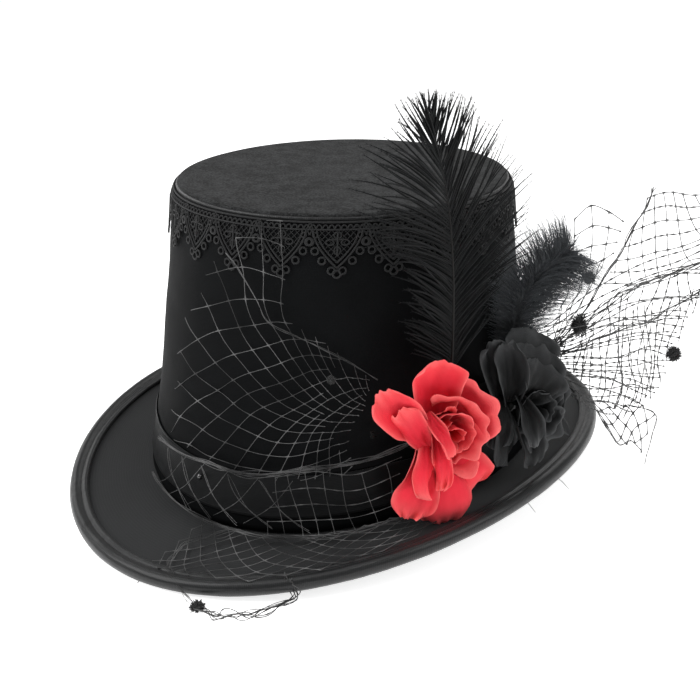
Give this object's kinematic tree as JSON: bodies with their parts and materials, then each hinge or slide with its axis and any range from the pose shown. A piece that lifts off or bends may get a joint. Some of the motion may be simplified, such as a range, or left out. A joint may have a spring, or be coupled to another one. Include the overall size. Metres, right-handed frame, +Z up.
{
  "type": "top hat",
  "caption": "Black fancy-dress top hat with a bound oval brim, ribbon band, lace collar, red and black fabric roses, feathers and net veils.",
  "frame": {"origin": "centre of the head opening, where the crown meets the brim", "axes": "+Z up through the crown, -Y to the hat's front, +X to the wearer's left, the dressed side"},
  "size_m": [0.2711, 0.2923, 0.1893],
  "materials": {
    "crown_cloth": "matt black covering cloth with a faint sheen",
    "tip_felt": "dense short felt, slightly mottled",
    "lining_cloth": "smooth black lining taffeta",
    "sweatband_cloth": "ribbed grosgrain",
    "ribbon_satin": "soft satin sheen",
    "brim_cloth": "matt black covering cloth with a faint sheen",
    "brim_felt": "stiffened felt core",
    "binding_satin": "glossy satin bias strip",
    "wire": "bare millinery wire",
    "bead": "polished black bead",
    "lace": "matt cotton cord lace",
    "thread": "matt sewing thread",
    "red_petal": "woven petal cloth, paler at the edges",
    "black_petal": "woven petal cloth, charcoal",
    "stem_plastic": "moulded flower cup and stem",
    "quill": "dyed feather shaft",
    "plume_barbs": "fine dyed ostrich barbs",
    "fluff_down": "soft dyed down",
    "netting": "thin shiny nylon net",
    "chenille": "fuzzy chenille"
  },
  "bodies": {
    "root": {"crown_side": "crown_cloth", "crown_tip": "tip_felt", "tip_welt": "crown_cloth", "crown_lining": "lining_cloth", "tip_lining": "lining_cloth", "sweatband": "sweatband_cloth", "sweatband_bow": "ribbon_satin", "brim_upper": "brim_cloth", "brim_core": "brim_felt", "brim_under": "brim_cloth", "brim_wire": "wire", "brim_binding": "binding_satin", "hat_band": "ribbon_satin", "band_bead": "bead", "lace_collar": "lace", "trim_pad": "tip_felt", "red_rose_outer": "red_petal", "red_rose_middle": "red_petal", "red_rose_inner": "red_petal", "red_rose_bud": "red_petal", "red_rose_cup": "stem_plastic", "black_rose_outer": "black_petal", "black_rose_middle": "black_petal", "black_rose_inner": "black_petal", "black_rose_bud": "black_petal", "black_rose_cup": "stem_plastic", "black_leaf": "black_petal", "plume_quill": "quill", "plume_vane": "plume_barbs", "fluff_quill": "quill", "fluff_vane": "fluff_down", "front_veil": "netting", "side_veil": "netting", "veil_tack": "thread", "front_dots": "chenille", "side_dots": "chenille"}
  },
  "joints": []
}
